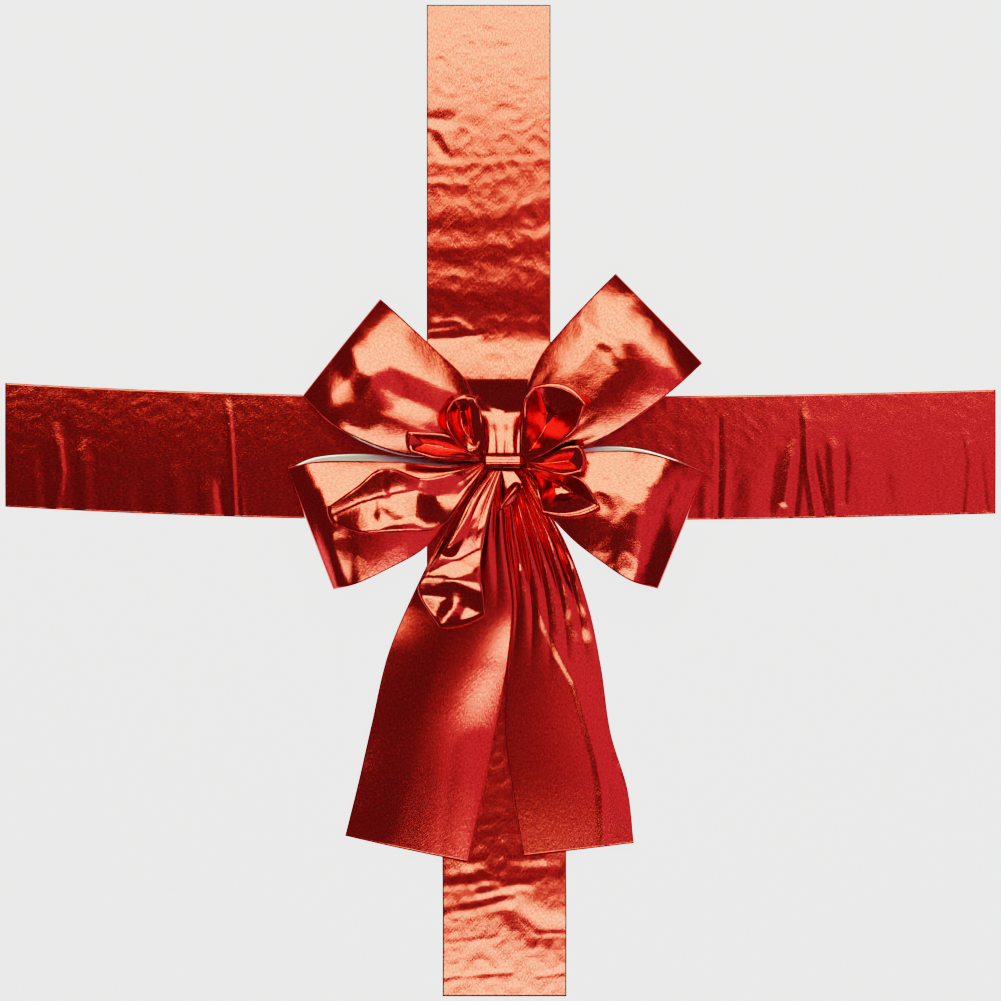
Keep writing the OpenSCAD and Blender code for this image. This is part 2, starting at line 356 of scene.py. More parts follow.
def makeRibbon(name, piece, face):
    # a grid laid out across u and along w, then moved into place
    if not piece.get("open"):
        # first guess at the shares, then the real ones from the measured lengths
        frontEnd, foldEnd = 0.48, 0.54
        piece["shares"] = (frontEnd, 0.06)
        lengths = [pathLength(piece, 0, frontEnd), max(pathLength(piece, frontEnd, foldEnd), 4),
                   pathLength(piece, foldEnd, 1)]
        total = sum(lengths)
        piece["shares"] = (lengths[0] / total, lengths[1] / total)
    total = pathLength(piece, 0, 1)
    columns = piece.get("columns", 72)
    stations = int(total / piece.get("step", 0.9))
    bm = bmesh.new()
    bmesh.ops.create_grid(bm, x_segments=columns, y_segments=stations, size=0.5)
    verts = list(bm.verts)
    u = np.array([v.co.x for v in verts]) + 0.5
    w = np.array([v.co.y for v in verts]) + 0.5
    points = ribbonPoints(piece, u, w) * mm
    uvLayer = bm.loops.layers.uv.new("ribbon")
    width = piece.get("flatWidth", ribbonWidth)
    for f in bm.faces:
        f.smooth = True
        for corner in f.loops:
            i = corner.vert.index
            corner[uvLayer].uv = ((u[i] - 0.5) * width * mm + piece.get("shift", 0), w[i] * total * mm)
    for v, p in zip(verts, points):
        v.co = p
    thing = placeMesh(bm, name, face, silverBack)
    thicken(thing)
    print(name, "length", round(total, 1))
    return thing, total


def settle(thing, body, node, heading=None):
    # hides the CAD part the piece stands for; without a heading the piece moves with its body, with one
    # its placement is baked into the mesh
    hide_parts(node)
    if heading is None:
        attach(thing, body)
    else:
        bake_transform(thing)


# the ribbon cross

bandAcrossValues = {
    "open": True,
    # left end to right end: upper edge, lower edge, height, crown, lean, bow
    "front": [(-254.7, 40.5, -254.7, -23.0, 1.2, 0.3, -0.2, 0),
              (-204.0, 37.9, -204.0, -25.6, 1.3, 0.3, -0.2, 0),
              (-153.3, 35.9, -153.3, -27.6, 0.8, 0.3, -0.1, 0),
              (-102.6, 34.5, -102.6, -29.0, 0.5, 0.2, -0.1, 0),
              (-51.9, 33.6, -51.9, -29.9, 0.4, 0.0, 0.0, 0),
              (-1.2, 33.3, -1.2, -30.2, 0.25, 0.0, 0.0, 0),
              (49.5, 33.5, 49.5, -30.0, 0.4, 0.0, 0.0, 0),
              (100.2, 33.9, 100.2, -29.6, 0.6, 0.2, -0.1, 0),
              (150.9, 34.6, 150.9, -28.9, 0.9, 0.3, -0.3, 0),
              (201.6, 35.7, 201.6, -27.8, 0.6, 0.3, -0.4, 0),
              (252.3, 37.0, 252.3, -26.5, 0.5, 0.3, -0.4, 0)],
    "ridges": [([(-141, 36), (-139, 8), (-137, -29)], 0.59, 1.6, 0.3),
               ([(-146, -2), (-143, -29)], -0.65, 3, 0.8),
               ([(-134, -8), (-133, -28)], 0.33, 1.5, 0.3),
               ([(-223, 26), (-221, 0), (-219, -36)], -0.32, 4, 1.5),
               ([(-229, 22), (-226, -5), (-230, -36)], 0.52, 3, 0.6),
               ([(-236, 12), (-233, -36)], -0.45, 4, 1),
               ([(-215, 14), (-213, -36)], 0.45, 4, 1.2),
               ([(-186, -6), (-184, -28)], -0.26, 5, 2),
               ([(-168, 2), (-166, -29)], 0.29, 5, 2),
               ([(-152, -5), (-151, -29)], 0.39, 4, 1.5),
               ([(110.6, 27), (110.8, 0), (110.2, -29)], -0.42, 1.6, 0.4),
               ([(115, 6), (113, -29)], 0.24, 2.5, 0.6),
               ([(104, -5), (103, -29)], 0.18, 3, 0.8),
               ([(154, 33), (155, 18), (156, -4), (160, -29)], 0.54, 2.6, 0.4),
               ([(150, 14), (147, 0), (144, -20)], 0.48, 3.5, 0.6),
               ([(152, 12), (151, -8), (149, -28)], -0.42, 2.5, 0.4),
               ([(143, 9), (139, -2), (136, -25)], -0.3, 4, 1),
               ([(158, 10), (161, -8), (165, -28)], -0.42, 2.5, 0.4),
               ([(167, 18), (169, 6), (171, -28)], 0.42, 4, 0.8),
               ([(173, 16), (175, 0), (174, -20)], -0.3, 3, 0.8),
               ([(128, 0), (126, -28)], 0.21, 6, 2),
               ([(184, 8), (186, -28)], 0.18, 6, 2),
               ([(195, 10), (196, -29)], -0.18, 4, 1.5),
               ([(205, 6), (206, -29)], 0.18, 5, 2),
               ([(217, 12), (219, -28)], -0.15, 5, 2),
               ([(236, 20), (240, 0), (238, -26)], 0.3, 3, 0.6),
               ([(243, 12), (245, -10), (247, -24)], -0.3, 3, 0.6),
               ([(230, 4), (229, -27)], 0.15, 4, 1)],
    "crumples": [(0.05, 7, 1.7)],
    "step": 1.0, "columns": 72, "fade": 14,
}
bandDownValues = {
    "open": True,
    "front": [(24.5, 234.0, -39.0, 234.0, 1.0, 0.3, 0, 0),
              (24.5, 183.3, -39.0, 183.3, 1.2, 0.3, 0, 0),
              (24.5, 132.5, -39.0, 132.5, 1.1, 0.3, 0, 0),
              (24.5, 81.8, -39.0, 81.8, 1.1, 0.1, 0, 0),
              (24.5, 31.0, -39.0, 31.0, 1.0, 0.0, 0, 0),
              (24.5, -19.8, -39.0, -19.8, 1.0, 0.0, 0, 0),
              (25.0, -70.5, -38.5, -70.5, 0.8, 0.0, 0, 0),
              (28.2, -121.3, -35.3, -121.3, 0.5, 0.0, 0, 0),
              (31.8, -172.0, -31.7, -172.0, 0.5, 0.1, 0, 0),
              (32.6, -222.8, -30.9, -222.8, 1.3, 0.3, 0, 0),
              (32.6, -273.5, -30.9, -273.5, 1.2, 0.3, 0, 0)],
    "ridges": [([(-39, 40), (25, 38)], 2.3, 25, 4),
               ([(-39, 211), (-10, 217), (25, 225)], 0.027, 1.6, 0.3),
               ([(-38, 222), (10, 228)], 0.023, 1.6, 0.3),
               ([(-36, 205), (25, 217)], -0.027, 1.6, 0.3),
               ([(-25, 188), (-5, 194), (22, 198)], 0.027, 1.6, 0.3),
               ([(-10, 183), (25, 192)], -0.023, 1.6, 0.3),
               ([(-39, 176), (-27, 175)], -0.21, 5, 0.8),
               ([(-38, 168), (-30, 158)], -0.18, 4, 0.6),
               ([(-33, 171), (-27, 158)], 0.11, 3, 0.5),
               ([(-39, 152), (-8, 153), (25, 155)], 0.05, 3, 0.5),
               ([(-39, 143), (-20, 142)], 0.068, 3, 0.4),
               ([(-39, 128), (-13, 126), (24, 135)], 0.096, 9, 0.8),
               ([(-39, 119), (-12, 117), (25, 122)], -0.068, 7, 1.2),
               ([(-39, 109), (0, 110), (25, 116)], 0.057, 6, 1.2),
               ([(-37, 102.5), (-9, 102), (24, 107.5)], -0.091, 8, 0.7),
               ([(-37, 89), (-10, 85), (24, 92)], 0.11, 10, 1),
               ([(-36, 76), (-8, 79), (25, 74)], -0.08, 9, 2),
               ([(-35, 71), (-24, 72), (-17, 68)], 0.14, 2.4, 0.4),
               ([(-36, 66.5), (-22, 68), (-14, 66)], 0.11, 2, 0.3),
               ([(-39, 62.5), (-25, 63), (-12, 65.5)], -0.18, 2.4, 0.4),
               ([(-28, -203), (-5, -208), (20, -203)], 0.1, 4, 0.5),
               ([(-26, -212), (0, -206), (28, -208)], -0.11, 4, 0.6),
               ([(-30, -217), (-8, -214), (14, -217)], 0.091, 3, 0.5),
               ([(-12, -221), (18, -214)], 0.1, 3, 0.4),
               ([(-30, -231.5), (-12, -228), (4, -225)], 0.091, 3.5, 0.5),
               ([(-20, -226), (4, -221)], -0.08, 3, 0.5),
               ([(6, -229), (18, -239), (33, -241)], -0.3, 9, 2),
               ([(18, -241.5), (33, -241.2)], 0.08, 2, 0.3),
               ([(-30, -246.5), (-2, -243.5)], 0.046, 1.8, 0.3),
               ([(-30, -264), (-14, -262.4), (4, -261)], -0.091, 1.8, 0.3),
               ([(17, -263), (33, -261)], -0.091, 1.8, 0.3)],
    "crumples": [(0.06, 8, 6.2)],
    "step": 1.0, "columns": 72, "shift": 0.3,
}
bandAcross, bandAcrossLength = makeRibbon("bandAcross", bandAcrossValues, bandFoil)
settle(bandAcross, tied, "band_across")
bandDown, bandDownLength = makeRibbon("bandDown", bandDownValues, bandFoil)
settle(bandDown, tied, "band_down")
print("cross ready")


# large loops

# each row, from the knot out: left edge, right edge, height, crown, lean, bow
upperLeftValues = {
    "front": [(-9.3, -1.0, -9.0, 2.4, 15.0, 0.0, 0.0, 0),
              (-30.0, 2.2, -12.0, 22.0, 19.5, 2.0, -3.0, 0),
              (-50.0, 4.0, -18.5, 41.0, 22.0, 4.2, -6.5, 0),
              (-69.0, 9.8, -34.0, 56.5, 23.5, 5.0, -7.0, 0),
              (-86.5, 19.0, -50.0, 71.5, 24.5, 5.2, -7.0, 0),
              (-100.9, 32.6, -61.6, 82.1, 25.0, 4.6, -5.0, 0)],
    "rear": [(-9.3, -1.0, -9.0, 2.4, 13.6, 0.0, 0, 0),
             (-30.5, 2.0, -12.0, 21.6, 9.0, 0.0, 0, 0),
             (-50.2, 3.2, -18.0, 40.6, 5.5, 0.0, 0, 0),
             (-69.2, 8.9, -34.4, 56.2, 4.4, 0.0, 0, 0),
             (-86.5, 18.8, -50.2, 71.3, 4.0, 0.0, 0, 0),
             (-100.9, 32.6, -61.6, 82.1, 4.0, 0.0, 0, 0)],
    "foldReach": 1.3, "pleats": (5, 0.7, 0.5), "droop": (6.0, 0.72),
    "ridges": [([(-76, 56), (-70, 47), (-61, 35)], 0.8, 9, 3),
               ([(-57, 35), (-26, 22)], -1.8, 12, 2.5),
               ([(-84, 48), (-70, 26)], -0.8, 9, 3)],
    "crumples": [(0.1, 12, 2.3)],
}
upperRightValues = {
    "front": [(9.0, 2.4, 9.3, -1.0, 15.0, 0.0, 0.0, 0),
              (9.0, 25.0, 30.0, 4.4, 19.5, 1.5, 3.0, 0),
              (17.5, 50.5, 51.0, 12.0, 22.0, 3.8, 6.5, 0),
              (30.5, 67.5, 70.0, 24.0, 23.5, 4.5, 7.0, 0),
              (44.6, 82.6, 87.0, 37.0, 24.5, 4.6, 7.0, 0),
              (56.6, 94.9, 100.4, 49.2, 25.0, 4.2, 5.0, 0)],
    "rear": [(9.0, 2.4, 9.3, -1.0, 13.6, 0.0, 0, 0),
             (9.6, 24.6, 30.4, 4.6, 9.0, 0.0, 0, 0),
             (18.4, 50.0, 51.0, 11.8, 5.5, 0.0, 0, 0),
             (31.2, 67.0, 70.0, 23.8, 4.4, 0.0, 0, 0),
             (44.8, 82.4, 87.0, 37.0, 4.0, 0.0, 0, 0),
             (56.6, 94.9, 100.4, 49.2, 4.0, 0.0, 0, 0)],
    "foldReach": 1.3, "pleats": (5, 0.7, 0.5), "droop": (5.5, 0.76),
    "ridges": [([(41, 71), (47.5, 65.5), (53, 62)], -0.14, 2.6, 0.5),
               ([(50, 60), (55.5, 57), (58.5, 51)], 0.33, 4, 0.6),
               ([(64, 78), (57, 66), (55, 60)], -0.41, 7, 2),
               ([(52, 53), (46, 45), (40, 36)], -0.41, 8, 2)],
    "dents": [(63, 62, 0.7, 8)],
    "crumples": [(0.1, 12, 5.9)],
}
lowerLeftValues = {
    "front": [(-9.0, -2.4, -9.3, 0.4, 12.5, 0.0, 0.0, 0),
              (-24.0, -26.5, -27.0, -2.0, 17.5, 1.5, -1.0, 0),
              (-39.5, -43.8, -51.0, -0.4, 21.0, 3.4, -4.0, 0),
              (-57.5, -54.2, -74.0, 0.2, 22.5, 4.2, -6.5, 0),
              (-73.6, -61.7, -95.0, -0.2, 23.5, 4.0, -6.5, 0),
              (-85.1, -64.6, -108.9, -3.0, 24.0, 3.0, -4.0, 0)],
    "rear": [(-9.0, -2.4, -9.3, 0.4, 11.2, 0.0, 0, 0),
             (-24.6, -25.4, -27.5, -0.6, 7.5, 0.0, 0, 0),
             (-40.0, -42.8, -52.0, 2.4, 5.0, 0.0, 0, 0),
             (-57.6, -53.8, -74.5, 4.2, 4.4, 0.0, 0, 0),
             (-73.6, -61.5, -95.5, 2.4, 4.0, 0.0, 0, 0),
             (-85.1, -64.6, -108.9, -3.0, 4.0, 0.0, 0, 0)],
    "foldReach": 1.3, "pleats": (5, 0.7, 0.5), "droop": (6.5, 0.76),
    "ridges": [([(-80, -40), (-77, -60)], -1.0, 6, 2),
               ([(-88, -20), (-84, -60)], 0.8, 7, 3)],
    "crumples": [(0.08, 12, 8.1)],
}
lowerRightValues = {
    "front": [(9.3, 0.4, 9.0, -2.4, 12.5, 0.0, 0.0, 0),
              (28.0, 3.2, 18.0, -20.0, 17.5, 1.5, 1.0, 0),
              (48.0, 5.2, 34.0, -38.4, 21.0, 3.0, 4.0, 0),
              (68.0, 5.0, 50.0, -51.0, 22.5, 3.6, 5.5, 0),
              (87.0, 0.6, 64.2, -60.2, 23.0, 3.0, 5.0, 0),
              (101.8, -5.2, 77.8, -64.3, 22.0, 2.0, 3.0, 0)],
    "rear": [(9.3, 0.4, 9.0, -2.4, 11.2, 0.0, 0, 0),
             (28.0, 3.6, 18.6, -19.4, 7.5, 0.0, 0, 0),
             (48.0, 7.8, 34.4, -37.8, 5.0, 0.0, 0, 0),
             (68.4, 7.0, 50.2, -50.8, 4.4, 0.0, 0, 0),
             (87.4, 1.6, 64.2, -60.2, 4.0, 0.0, 0, 0),
             (101.8, -5.2, 77.8, -64.3, 4.0, 0.0, 0, 0)],
    "foldReach": 1.3, "pleats": (5, 0.7, 0.5), "droop": (5.5, 0.64),
    "ridges": [([(80, 0), (70, -22), (69, -62)], 2.2, 13, 4),
               ([(60, -2), (66, -8), (74, -12)], 0.21, 3, 0.5),
               ([(45, -6), (52, -10), (60, -9)], -0.24, 4, 0.8),
               ([(48, -20), (56, -26), (60, -20)], -0.28, 5, 1),
               ([(52, -14), (60, -17), (64, -24)], 0.21, 4, 0.8)],
    "crumples": [(0.1, 9, 3.1)],
}
largeLoops = [("loopUpperLeft", upperLeftValues, "upper_left_loops", "loop_upper_left", 144.8),
              ("loopUpperRight", upperRightValues, "upper_right_loops", "loop_upper_right", 42.6),
              ("loopLowerLeft", lowerLeftValues, "lower_left_loops", "loop_lower_left", 198.7),
              ("loopLowerRight", lowerRightValues, "lower_right_loops", "loop_lower_right", -20.5)]
for name, piece, body, node, heading in largeLoops:
    loop, length = makeRibbon(name, piece, loopFoil)
    settle(loop, body, node, heading)
print("large loops ready")


# inner loops

# flatWidth is a modelled width, not the cut one: the real loops are ribbonWidth wide and
# pleated far tighter than these, which hold only a tenth to two fifths of that cloth
innerUpperLeftValues = {
    "front": [(-9.3, 1.0, -8.9, 3.2, 21.0, 0, 0, 0),
              (-20.5, 6.5, -9.3, 11.0, 27.0, 0, 0, 0),
              (-27.4, 15.0, -10.0, 19.0, 31.0, 0, 0, 0),
              (-28.8, 23.5, -11.4, 26.5, 32.5, 0, 0, 0),
              (-24.8, 30.6, -14.0, 31.5, 32.0, 0, 0, 1.5)],
    "hug": (1.3, 2.6), "foldReach": 1.2, "dish": (6.4, 0.9, 6.6, 0.3), "reach": 32, "flatWidth": 17,
    "ridges": [([(-16.9, 28.0), (-16.2, 18), (-13.6, 7)], 2.0, 4, 0.8)],
    "columns": 60, "step": 0.5, "pleats": (3, 0.3, 0.3),
}
innerLeftValues = {
    "front": [(-9.2, 0.2, -9.2, 2.4, 20.0, 0, 0, 0),
              (-22.0, 0.7, -18.0, 8.5, 26.0, 0, 0, 0),
              (-34.5, 1.2, -29.0, 13.5, 30.0, 0, 0, 0),
              (-46.0, 4.6, -47.0, 14.8, 31.5, 0, 0, 1.2)],
    "hug": (1.3, 2.6), "foldReach": 1.2, "dish": (3.8, 0.9, 5.4, 0.3), "reach": 38, "flatWidth": 13,
    "ridges": [([(-45, 5), (-34.3, 2.0), (-20, 2.0)], 0.6, 2.6, 0.8)],
    "columns": 52, "step": 0.5, "pleats": (3, 0.3, 0.3),
}
innerUpperRightValues = {
    "front": [(9.0, 1.8, 9.2, -0.6, 21.0, 0, 0, 0),
              (9.6, 11.0, 20.5, 3.6, 28.5, 0, 0, 0),
              (10.3, 20.5, 30.0, 9.8, 34.0, 0, 0, 0),
              (10.9, 30.5, 37.4, 17.4, 36.5, 0, 0, 1.0),
              (15.6, 36.8, 41.4, 28.6, 36.5, 0, 0, 5.0)],
    "hug": (1.3, 3.0), "foldReach": 1.2, "dish": (12.0, 0.9, 11.6, 0.3), "reach": 46, "flatWidth": 27,
    "ridges": [([(30, 27), (22, 16), (17, 8)], 1.2, 6, 1.0)],
    "columns": 72, "step": 0.5, "pleats": (3, 0.3, 0.3),
}
innerRightValues = {
    "front": [(9.2, 1.6, 9.2, -1.8, 20.0, 0, 0, 0),
              (20.0, 2.6, 19.0, -4.6, 26.0, 0, 0, 0),
              (30.0, 7.0, 29.5, -7.2, 30.0, 0, 0, 0),
              (37.6, 8.0, 39.4, -5.4, 30.5, 0, 0, 2.4)],
    "hug": (1.3, 2.4), "foldReach": 1.2, "dish": (5.4, 0.9, 6.4, 0.3), "reach": 32, "flatWidth": 13,
    "columns": 52, "step": 0.5, "pleats": (3, 0.3, 0.3),
}
innerLowerRightValues = {
    "front": [(9.2, -0.6, 9.0, -2.6, 18.6, 0, 0, 0),
              (25.0, -6.0, 14.8, -9.0, 25.0, 0, 0, 0),
              (39.5, -9.0, 17.4, -17.5, 29.5, 0, 0, 0),
              (49.0, -22.5, 19.4, -25.4, 29.5, 0, 0, 3.6)],
    "hug": (1.3, 3.2), "foldReach": 1.4, "dish": (8.4, 0.9, 8.4, 0.3), "reach": 36, "flatWidth": 20,
    "ridges": [([(24, -22), (27, -16)], 0.8, 4, 0.8)],
    "columns": 64, "step": 0.5, "pleats": (3, 0.4, 0.4),
}
innerLowerLeftValues = {
    "front": [(-9.3, -2.2, -9.3, 0.0, 18.0, 0, 0, 0),
              (-19.0, -17.0, -22.0, -5.0, 24.0, 0, 0, 0),
              (-31.5, -33.0, -40.0, -8.6, 33.0, 0, 0, 0),
              (-50.0, -35.4, -59.4, -3.2, 36.5, 0, 0, 0),
              (-71.0, -35.8, -74.0, -13.2, 36.0, 0, 0, 0),
              (-84.6, -31.0, -87.2, -22.4, 33.5, 0, 0, 1.0)],
    "hug": (1.3, 3.4), "foldReach": 1.4, "dish": (0.0, 1.8, 5.0, 0.5), "reach": 80, "flatWidth": 27,
    "ridges": [([(-84, -26.5), (-72, -21), (-60.4, -17.5), (-43, -14.5), (-34, -18)], -5.0, 15, 2.0),
               ([(-60.8, -3), (-60.4, -16), (-60.6, -27)], 0.5, 4, 0.4),
               ([(-58, -21), (-52, -27)], -0.4, 4, 0.8),
               ([(-66, -24), (-60, -28)], 0.25, 4, 0.8)],
    "crumples": [(0.12, 13, 4.4)],
    "columns": 84, "step": 0.6, "pleats": (3, 0.8, 0.3),
}
innerFootValues = {
    "front": [(-1.0, -4.4, -5.4, -4.4, 19.0, 0, 0, 0),
              (-6.0, -22.0, -16.5, -20.0, 24.0, 0, 0, 0),
              (-9.8, -40.0, -27.0, -40.0, 27.0, 0, 0, 0),
              (-11.5, -55.0, -38.0, -55.0, 27.0, 0, 0, 0),
              (-10.0, -68.0, -42.5, -66.0, 25.0, 0, 0, 0),
              (-9.4, -76.5, -32.4, -83.0, 21.0, 0, 0, 2.0)],
    "hug": (1.3, 3.6), "foldReach": 1.4, "dish": (0.0, 1.6, 4.0, 0.4), "reach": 80, "flatWidth": 25,
    "crumples": [(0.15, 13, 7.3)],
    "ridges": [([(-40, -57), (-24, -50), (-8, -42.5)], -1.8, 9, 0.8),
               ([(-44, -59), (-30, -57.5), (-13, -66)], 1.3, 9, 1.6),
               ([(-44, -66), (-30, -69), (-14, -69.5)], -1.1, 9, 1.6),
               ([(-12, -8), (-18, -27), (-27, -43)], 1.6, 5, 1.0),
               ([(-24, -71), (-31, -84)], 1.2, 6, 1.0)],
    "columns": 76, "step": 0.55, "pleats": (3, 0.8, 0.5),
}
innerCurlValues = {
    "front": [(5.2, -4.6, -0.4, -4.6, 18.4, 0, 0, 0),
              (9.4, -10.5, 0.9, -11.6, 19.6, 0.6, 0, 0),
              (9.6, -13.6, 0.6, -18.2, 21.4, 0.6, 1.0, 0),
              (3.9, -21.2, -2.4, -24.4, 22.0, 0.4, 1.0, 0)],
    "hug": (1.1, 1.6), "foldReach": 0.8, "flatWidth": 10, "columns": 36, "step": 0.45,
    "ridges": [([(-1, -23.0), (6.5, -13)], 1.6, 2.4, 0.5)],
}
loopOverKnotValues = {
    "front": [(-8.4, 4.0, 8.4, 4.0, 19.0, 0.6, 0, 0),
              (-8.8, 14.0, 8.8, 14.0, 17.2, 1.0, 0, 0),
              (-11.5, 24.0, 10.5, 24.0, 15.6, 1.0, 0, 0),
              (-15.5, 32.5, 12.0, 32.5, 10.8, 0.6, 0, 0),
              (-18.4, 41.2, 13.0, 41.2, 5.4, 0.3, 0, 0)],
    "rear": [(-8.4, 4.0, 8.4, 4.0, 15.0, 0, 0, 0),
             (-8.8, 14.0, 8.8, 14.0, 11.0, 0, 0, 0),
             (-11.4, 24.0, 10.4, 24.0, 8.0, 0, 0, 0),
             (-15.5, 32.5, 12.0, 32.5, 5.2, 0, 0, 0),
             (-18.4, 41.2, 13.0, 41.2, 2.6, 0, 0, 0)],
    "foldReach": 1.2, "flatWidth": 27, "columns": 60, "step": 0.6, "pleats": (3, 0.4, 0.5),
    "ridges": [([(-13, 35), (-8, 31), (-2, 27)], 0.5, 3, 0.6)],
}
innerLoops = [
    ("innerLoopUpperLeft", innerUpperLeftValues,
     "upper_left_loops", "inner_loop_upper_left", 125, (8, 18)),
    ("innerLoopLeft", innerLeftValues,
     "upper_left_loops", "inner_loop_left", 166, (9, 20)),
    ("innerLoopUpperRight", innerUpperRightValues,
     "upper_right_loops", "inner_loop_upper_right", 51, (7.5, 18)),
    ("innerLoopRight", innerRightValues,
     "lower_right_loops", "inner_loop_right", 3, (9, 20)),
    ("innerLoopLowerRight", innerLowerRightValues,
     "lower_right_loops", "inner_loop_lower_right", -25, (9, 20)),
    ("innerLoopLowerLeft", innerLowerLeftValues,
     "lower_left_loops", "inner_loop_lower_left", 199.5, (9, 20)),
    ("innerLoopFoot", innerFootValues,
     "left_tail", "inner_loop_foot", 256, (5, 16)),
    ("innerLoopCurl", innerCurlValues,
     "right_tail", "inner_loop_curl", 281, (5, 14)),
]
for name, piece, body, node, heading, bend in innerLoops:
    loop, length = makeRibbon(name, piece, innerFoil)
    settle(loop, body, node, heading)
loopOverKnot, overLength = makeRibbon("loopOverKnot", loopOverKnotValues, innerFoil)
settle(loopOverKnot, tied, "loop_over_knot")
print("inner loops ready")


# tails

tailLeftValues = {
    "open": True,
    "front": [(-0.4, -4.2, -9.4, -3.6, 14.0, 0, 0, 0),
              (0.6, -37.0, -29.0, -35.0, 10.5, 1.0, 0, 0),
              (4.6, -72.0, -44.2, -64.0, 8.6, 2.4, -6.0, 0),
              (2.4, -104.0, -58.6, -98.0, 7.6, 3.2, -2.0, 0),
              (-4.4, -138.0, -67.0, -134.0, 7.4, 3.0, 2.5, 0),
              (-10.4, -170.0, -73.6, -163.0, 7.8, 3.0, 1.0, 0),
              (-17.6, -204.0, -80.4, -190.6, 8.3, 3.0, 0, 0)],
    "ridges": [([(-47, -75), (-54, -105), (-60, -140), (-70, -178)], -1.0, 16, 6),
               ([(-12, -150), (-20, -215)], 0.5, 12, 4)],
    "pleats": (5, 1.0, 0.4), "columns": 76, "step": 1.0,
}
tailRightValues = {
    "open": True,
    "front": [(9.4, -3.6, 0.4, -4.2, 13.6, 0, 0, 0),
              (30.5, -38.0, 1.6, -37.0, 9.5, 1.0, 0, 0),
              (43.2, -72.0, 5.4, -72.0, 7.8, 1.2, 0, 0),
              (50.2, -105.0, 3.0, -104.0, 7.0, 1.0, 1.0, 0),
              (55.0, -138.0, 1.2, -138.0, 6.9, 0.8, 1.5, 0),
              (63.6, -167.0, 5.2, -168.0, 7.4, 0.6, 1.5, 0),
              (66.8, -194.4, 10.8, -201.0, 7.7, 0.3, 1.0, 0)],
    "pleats": (5, 1.5, 0.55), "fade": 10, "columns": 96, "step": 1.0,
    "ridges": [([(9.5, -55), (19, -77), (27.6, -96), (37, -113),
                 (43.5, -136), (48, -152.6), (50.5, -169.5), (51.2, -202)], 0.4, 3.0, 0.4),
               ([(13, -36), (23, -52), (34, -65.5), (46, -82)], 0.12, 3.2, 0.4),
               ([(11, -6), (15, -21.5), (21, -32.7), (29, -43.5), (37, -51)], 0.6, 3.5, 0.5),
               ([(8, -14), (6, -32), (9, -52)], 0.48, 3.0, 0.5),
               ([(18, -18), (27, -36), (33, -56)], -0.54, 5, 1.5),
               ([(40, -84), (47, -108), (52, -135), (57, -155)], -0.48, 9, 3),
               ([(58, -152), (66, -178)], -0.54, 5, 1)],
}
tails = [("tailLeft", tailLeftValues, "left_tail", "tail_left", 256),
         ("tailRight", tailRightValues, "right_tail", "tail_right", 281)]
for name, piece, body, node, heading in tails:
    tail, length = makeRibbon(name, piece, tailFoil)
    settle(tail, body, node, heading)
print("tails ready")


# knot

knotWrapValues = {
    # round the gathered ribbon, from the card up and over: distance towards the tails, height
    "path": [(3.5, 4.1), (3.6, 12.0), (3.6, 20.8), (3.0, 23.1), (1.4, 23.9), (-0.6, 24.5), (-2.2, 23.8),
             (-3.5, 21.4), (-3.6, 12.0), (-3.5, 4.1)],
    "halfWidth": 8.7, "narrowing": 0.06, "sink": 0.1, "columns": 40, "stations": 120,
    "flat": (0.0174, 0.043),  # metres, the cut strip
    "foilLength": 0.044, "foilStart": 0.1,
}


def makeKnotWrap(values):
    bm = bmesh.new()
    bmesh.ops.create_grid(bm, x_segments=values["columns"], y_segments=values["stations"], size=0.5)
    verts = list(bm.verts)
    u = np.array([v.co.x for v in verts]) + 0.5
    w = np.array([v.co.y for v in verts]) + 0.5
    path = alongRows(values["path"], w)
    uvLayer = bm.loops.layers.uv.new("ribbon")
    for f in bm.faces:
        f.smooth = True
        for corner in f.loops:
            i = corner.vert.index
            along = w[i] * values["foilLength"] + values["foilStart"]
            corner[uvLayer].uv = (u[i] * values["flat"][0], along)
    for i, v in enumerate(verts):
        side = 2 * u[i] - 1
        slim = 1 - values["narrowing"] * (1 - side ** 2)
        sink = values["sink"] * (1 - side ** 2)
        v.co = Vector((-side * values["halfWidth"], path[i][0] * slim, path[i][1] - sink)) * mm
    thing = placeMesh(bm, "knotWrap", innerFoil, silverBack)
    thicken(thing)
    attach(thing, tied)
    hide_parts("knot_wrap")


waistValues = {"flutes": 22, "depth": 0.22, "squareness": 2.2, "segments": 176}


def makeWaist(values):
    low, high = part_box("pleated_waist")
    middle = (low + high) / 2
    halfY, halfZ = (high.y - low.y) / 2, (high.z - low.z) / 2
    bm = bmesh.new()
    ring = bmesh.ops.create_circle(bm, segments=values["segments"], radius=1, cap_ends=False)["verts"]
    for i, v in enumerate(ring):
        a = 2 * pi * i / values["segments"]
        flute = 1 - values["depth"] * mm / halfY * (0.5 + 0.5 * cos(values["flutes"] * a))
        y = cos(a) * halfY * flute
        z = sin(a) * halfY * flute + (halfZ - halfY) * np.clip(sin(a) * values["squareness"], -1, 1)
        v.co = (low.x, y, middle.z + z)
    edges = list(bm.edges)
    grown = bmesh.ops.extrude_edge_only(bm, edges=edges)["geom"]
    moved = [g for g in grown if isinstance(g, bmesh.types.BMVert)]
    bmesh.ops.translate(bm, verts=moved, vec=(high.x - low.x, 0, 0))
    bmesh.ops.holes_fill(bm, edges=[e for e in bm.edges if e.is_boundary], sides=0)
    bmesh.ops.recalc_face_normals(bm, faces=bm.faces)
    for f in bm.faces:
        f.smooth = len(f.verts) == 4
    thing = placeMesh(bm, "gatheredWaist", innerFoil)
    thing.data.uv_layers.new(name="ribbon")
    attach(thing, tied)
    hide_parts("pleated_waist")


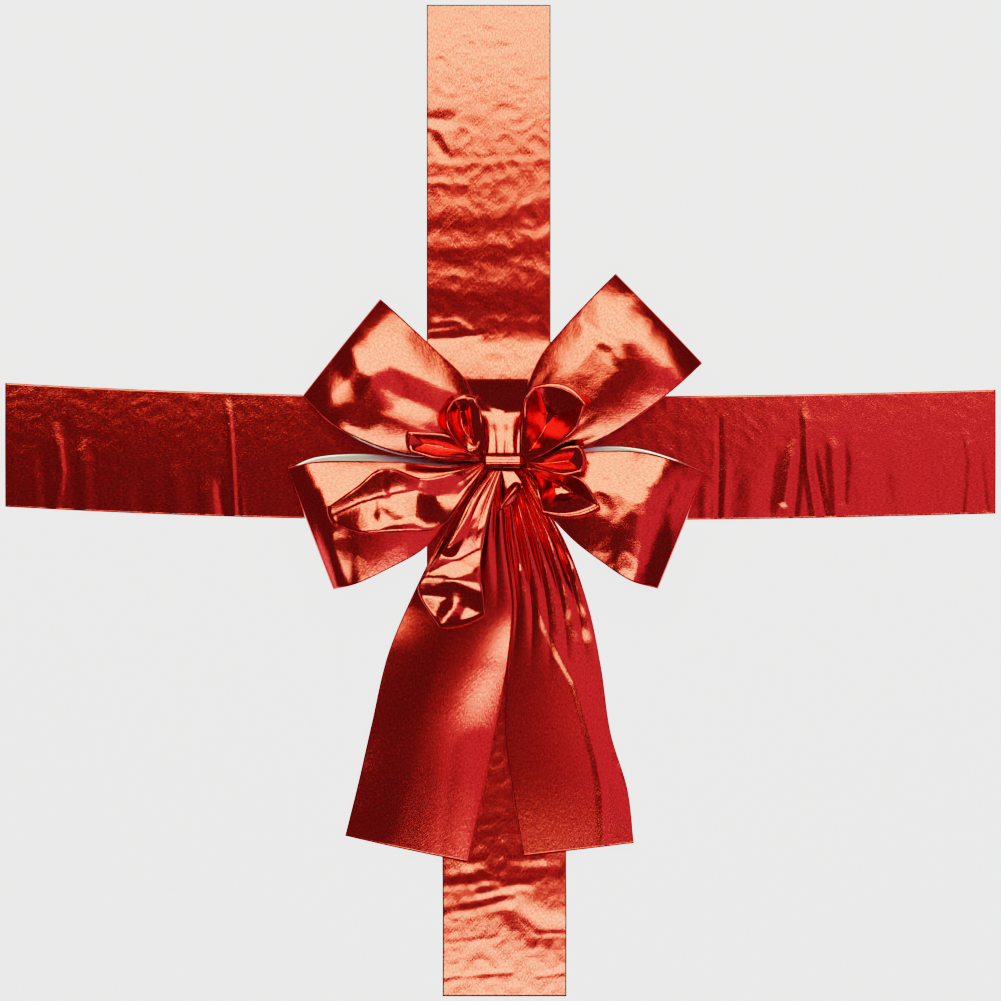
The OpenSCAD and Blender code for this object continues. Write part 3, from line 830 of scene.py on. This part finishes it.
def makeFoamPad(name, node):
    low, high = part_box(node)
    bm = bmesh.new()
    bmesh.ops.create_cube(bm, size=1)
    bmesh.ops.scale(bm, vec=high - low, verts=bm.verts)
    bmesh.ops.translate(bm, vec=(low + high) / 2, verts=bm.verts)
    bmesh.ops.bevel(bm, geom=bm.edges[:], offset=foamEdge * mm, affect="EDGES", segments=3, profile=0.5,
                    material=-1)
    thing = placeMesh(bm, name, foamSkin)
    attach(thing, tied)
    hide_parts(node)


makeKnotWrap(knotWrapValues)
makeWaist(waistValues)
makeFoamPad("foamPadLeft", "foam_pad_left")
makeFoamPad("foamPadRight", "foam_pad_right")


def paintNode(node, material):
    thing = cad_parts[node]
    if not thing.material_slots:
        thing.data.materials.append(material)
    for place in thing.material_slots:
        place.material = material


paintNode("backing_card", cardFace)
paintNode("crossing_tape", tapeFilm)
paintNode("tie_wire", wireMetal)
print("knot ready")


# floor and studio light

floorValues = {
    "size": 8.0,
    "drop": 0.0006,  # metres, so that no crease of the cross meets the floor
    "shade": (0.1, 0.1, 0.1, 1),
    "glow": (1, 1, 1, 1),
    "strength": 1.2,
}


def makeFloor(values):
    bm = bmesh.new()
    bmesh.ops.create_grid(bm, x_segments=1, y_segments=1, size=values["size"] / 2)
    material, _, _, shader = startMaterial("studioFloor")
    shader.inputs["Base Color"].default_value = values["shade"]
    shader.inputs["Roughness"].default_value = 1
    shader.inputs["Specular IOR Level"].default_value = 0
    shader.inputs["Emission Color"].default_value = values["glow"]
    shader.inputs["Emission Strength"].default_value = values["strength"]
    floor = placeMesh(bm, "studioFloor", material)
    floor.location.z = -values["drop"]


lightValues = {
    # place, size, brightness seen in a mirror, colour
    "topBox": {"place": (0.0, 0.98, 1.5), "size": (1.9, 1.28), "glow": 5.6, "tint": (0.80, 1.03, 0.62)},
    "footBox": {"place": (0.0, -0.68, 1.5), "size": (1.0, 0.44), "glow": 5.6, "tint": (0.76, 1.13, 0.72)},
    "rightFill": {"place": (1.45, -0.35, 1.55), "size": (2.5, 1.3), "glow": 0.47, "tint": (1, 0.7, 0.9)},
    "overhead": {"place": (0.0, -0.05, 1.6), "size": (0.56, 0.9), "glow": 0.045, "tint": (1, 0.7, 0.9)},
    "world": 0.15,
}


def makeSoftBox(name, values):
    data = bpy.data.lights.new(name, "AREA")
    data.shape = "RECTANGLE"
    data.size, data.size_y = values["size"]
    data.energy = values["glow"] * pi * values["size"][0] * values["size"][1]
    data.color = values["tint"]
    lamp = bpy.data.objects.new(name, data)
    lamp.location = values["place"]
    lamp.visible_camera = False
    bpy.context.scene.collection.objects.link(lamp)


def makeStudio(values):
    for name in ("topBox", "footBox", "rightFill", "overhead"):
        makeSoftBox(name, values[name])
    world = bpy.data.worlds.new("studioWorld")
    world.use_nodes = True
    world.node_tree.nodes["Background"].inputs["Color"].default_value = (1, 1, 1, 1)
    world.node_tree.nodes["Background"].inputs["Strength"].default_value = values["world"]
    bpy.context.scene.world = world


makeFloor(floorValues)
makeStudio(lightValues)
print("studio ready")
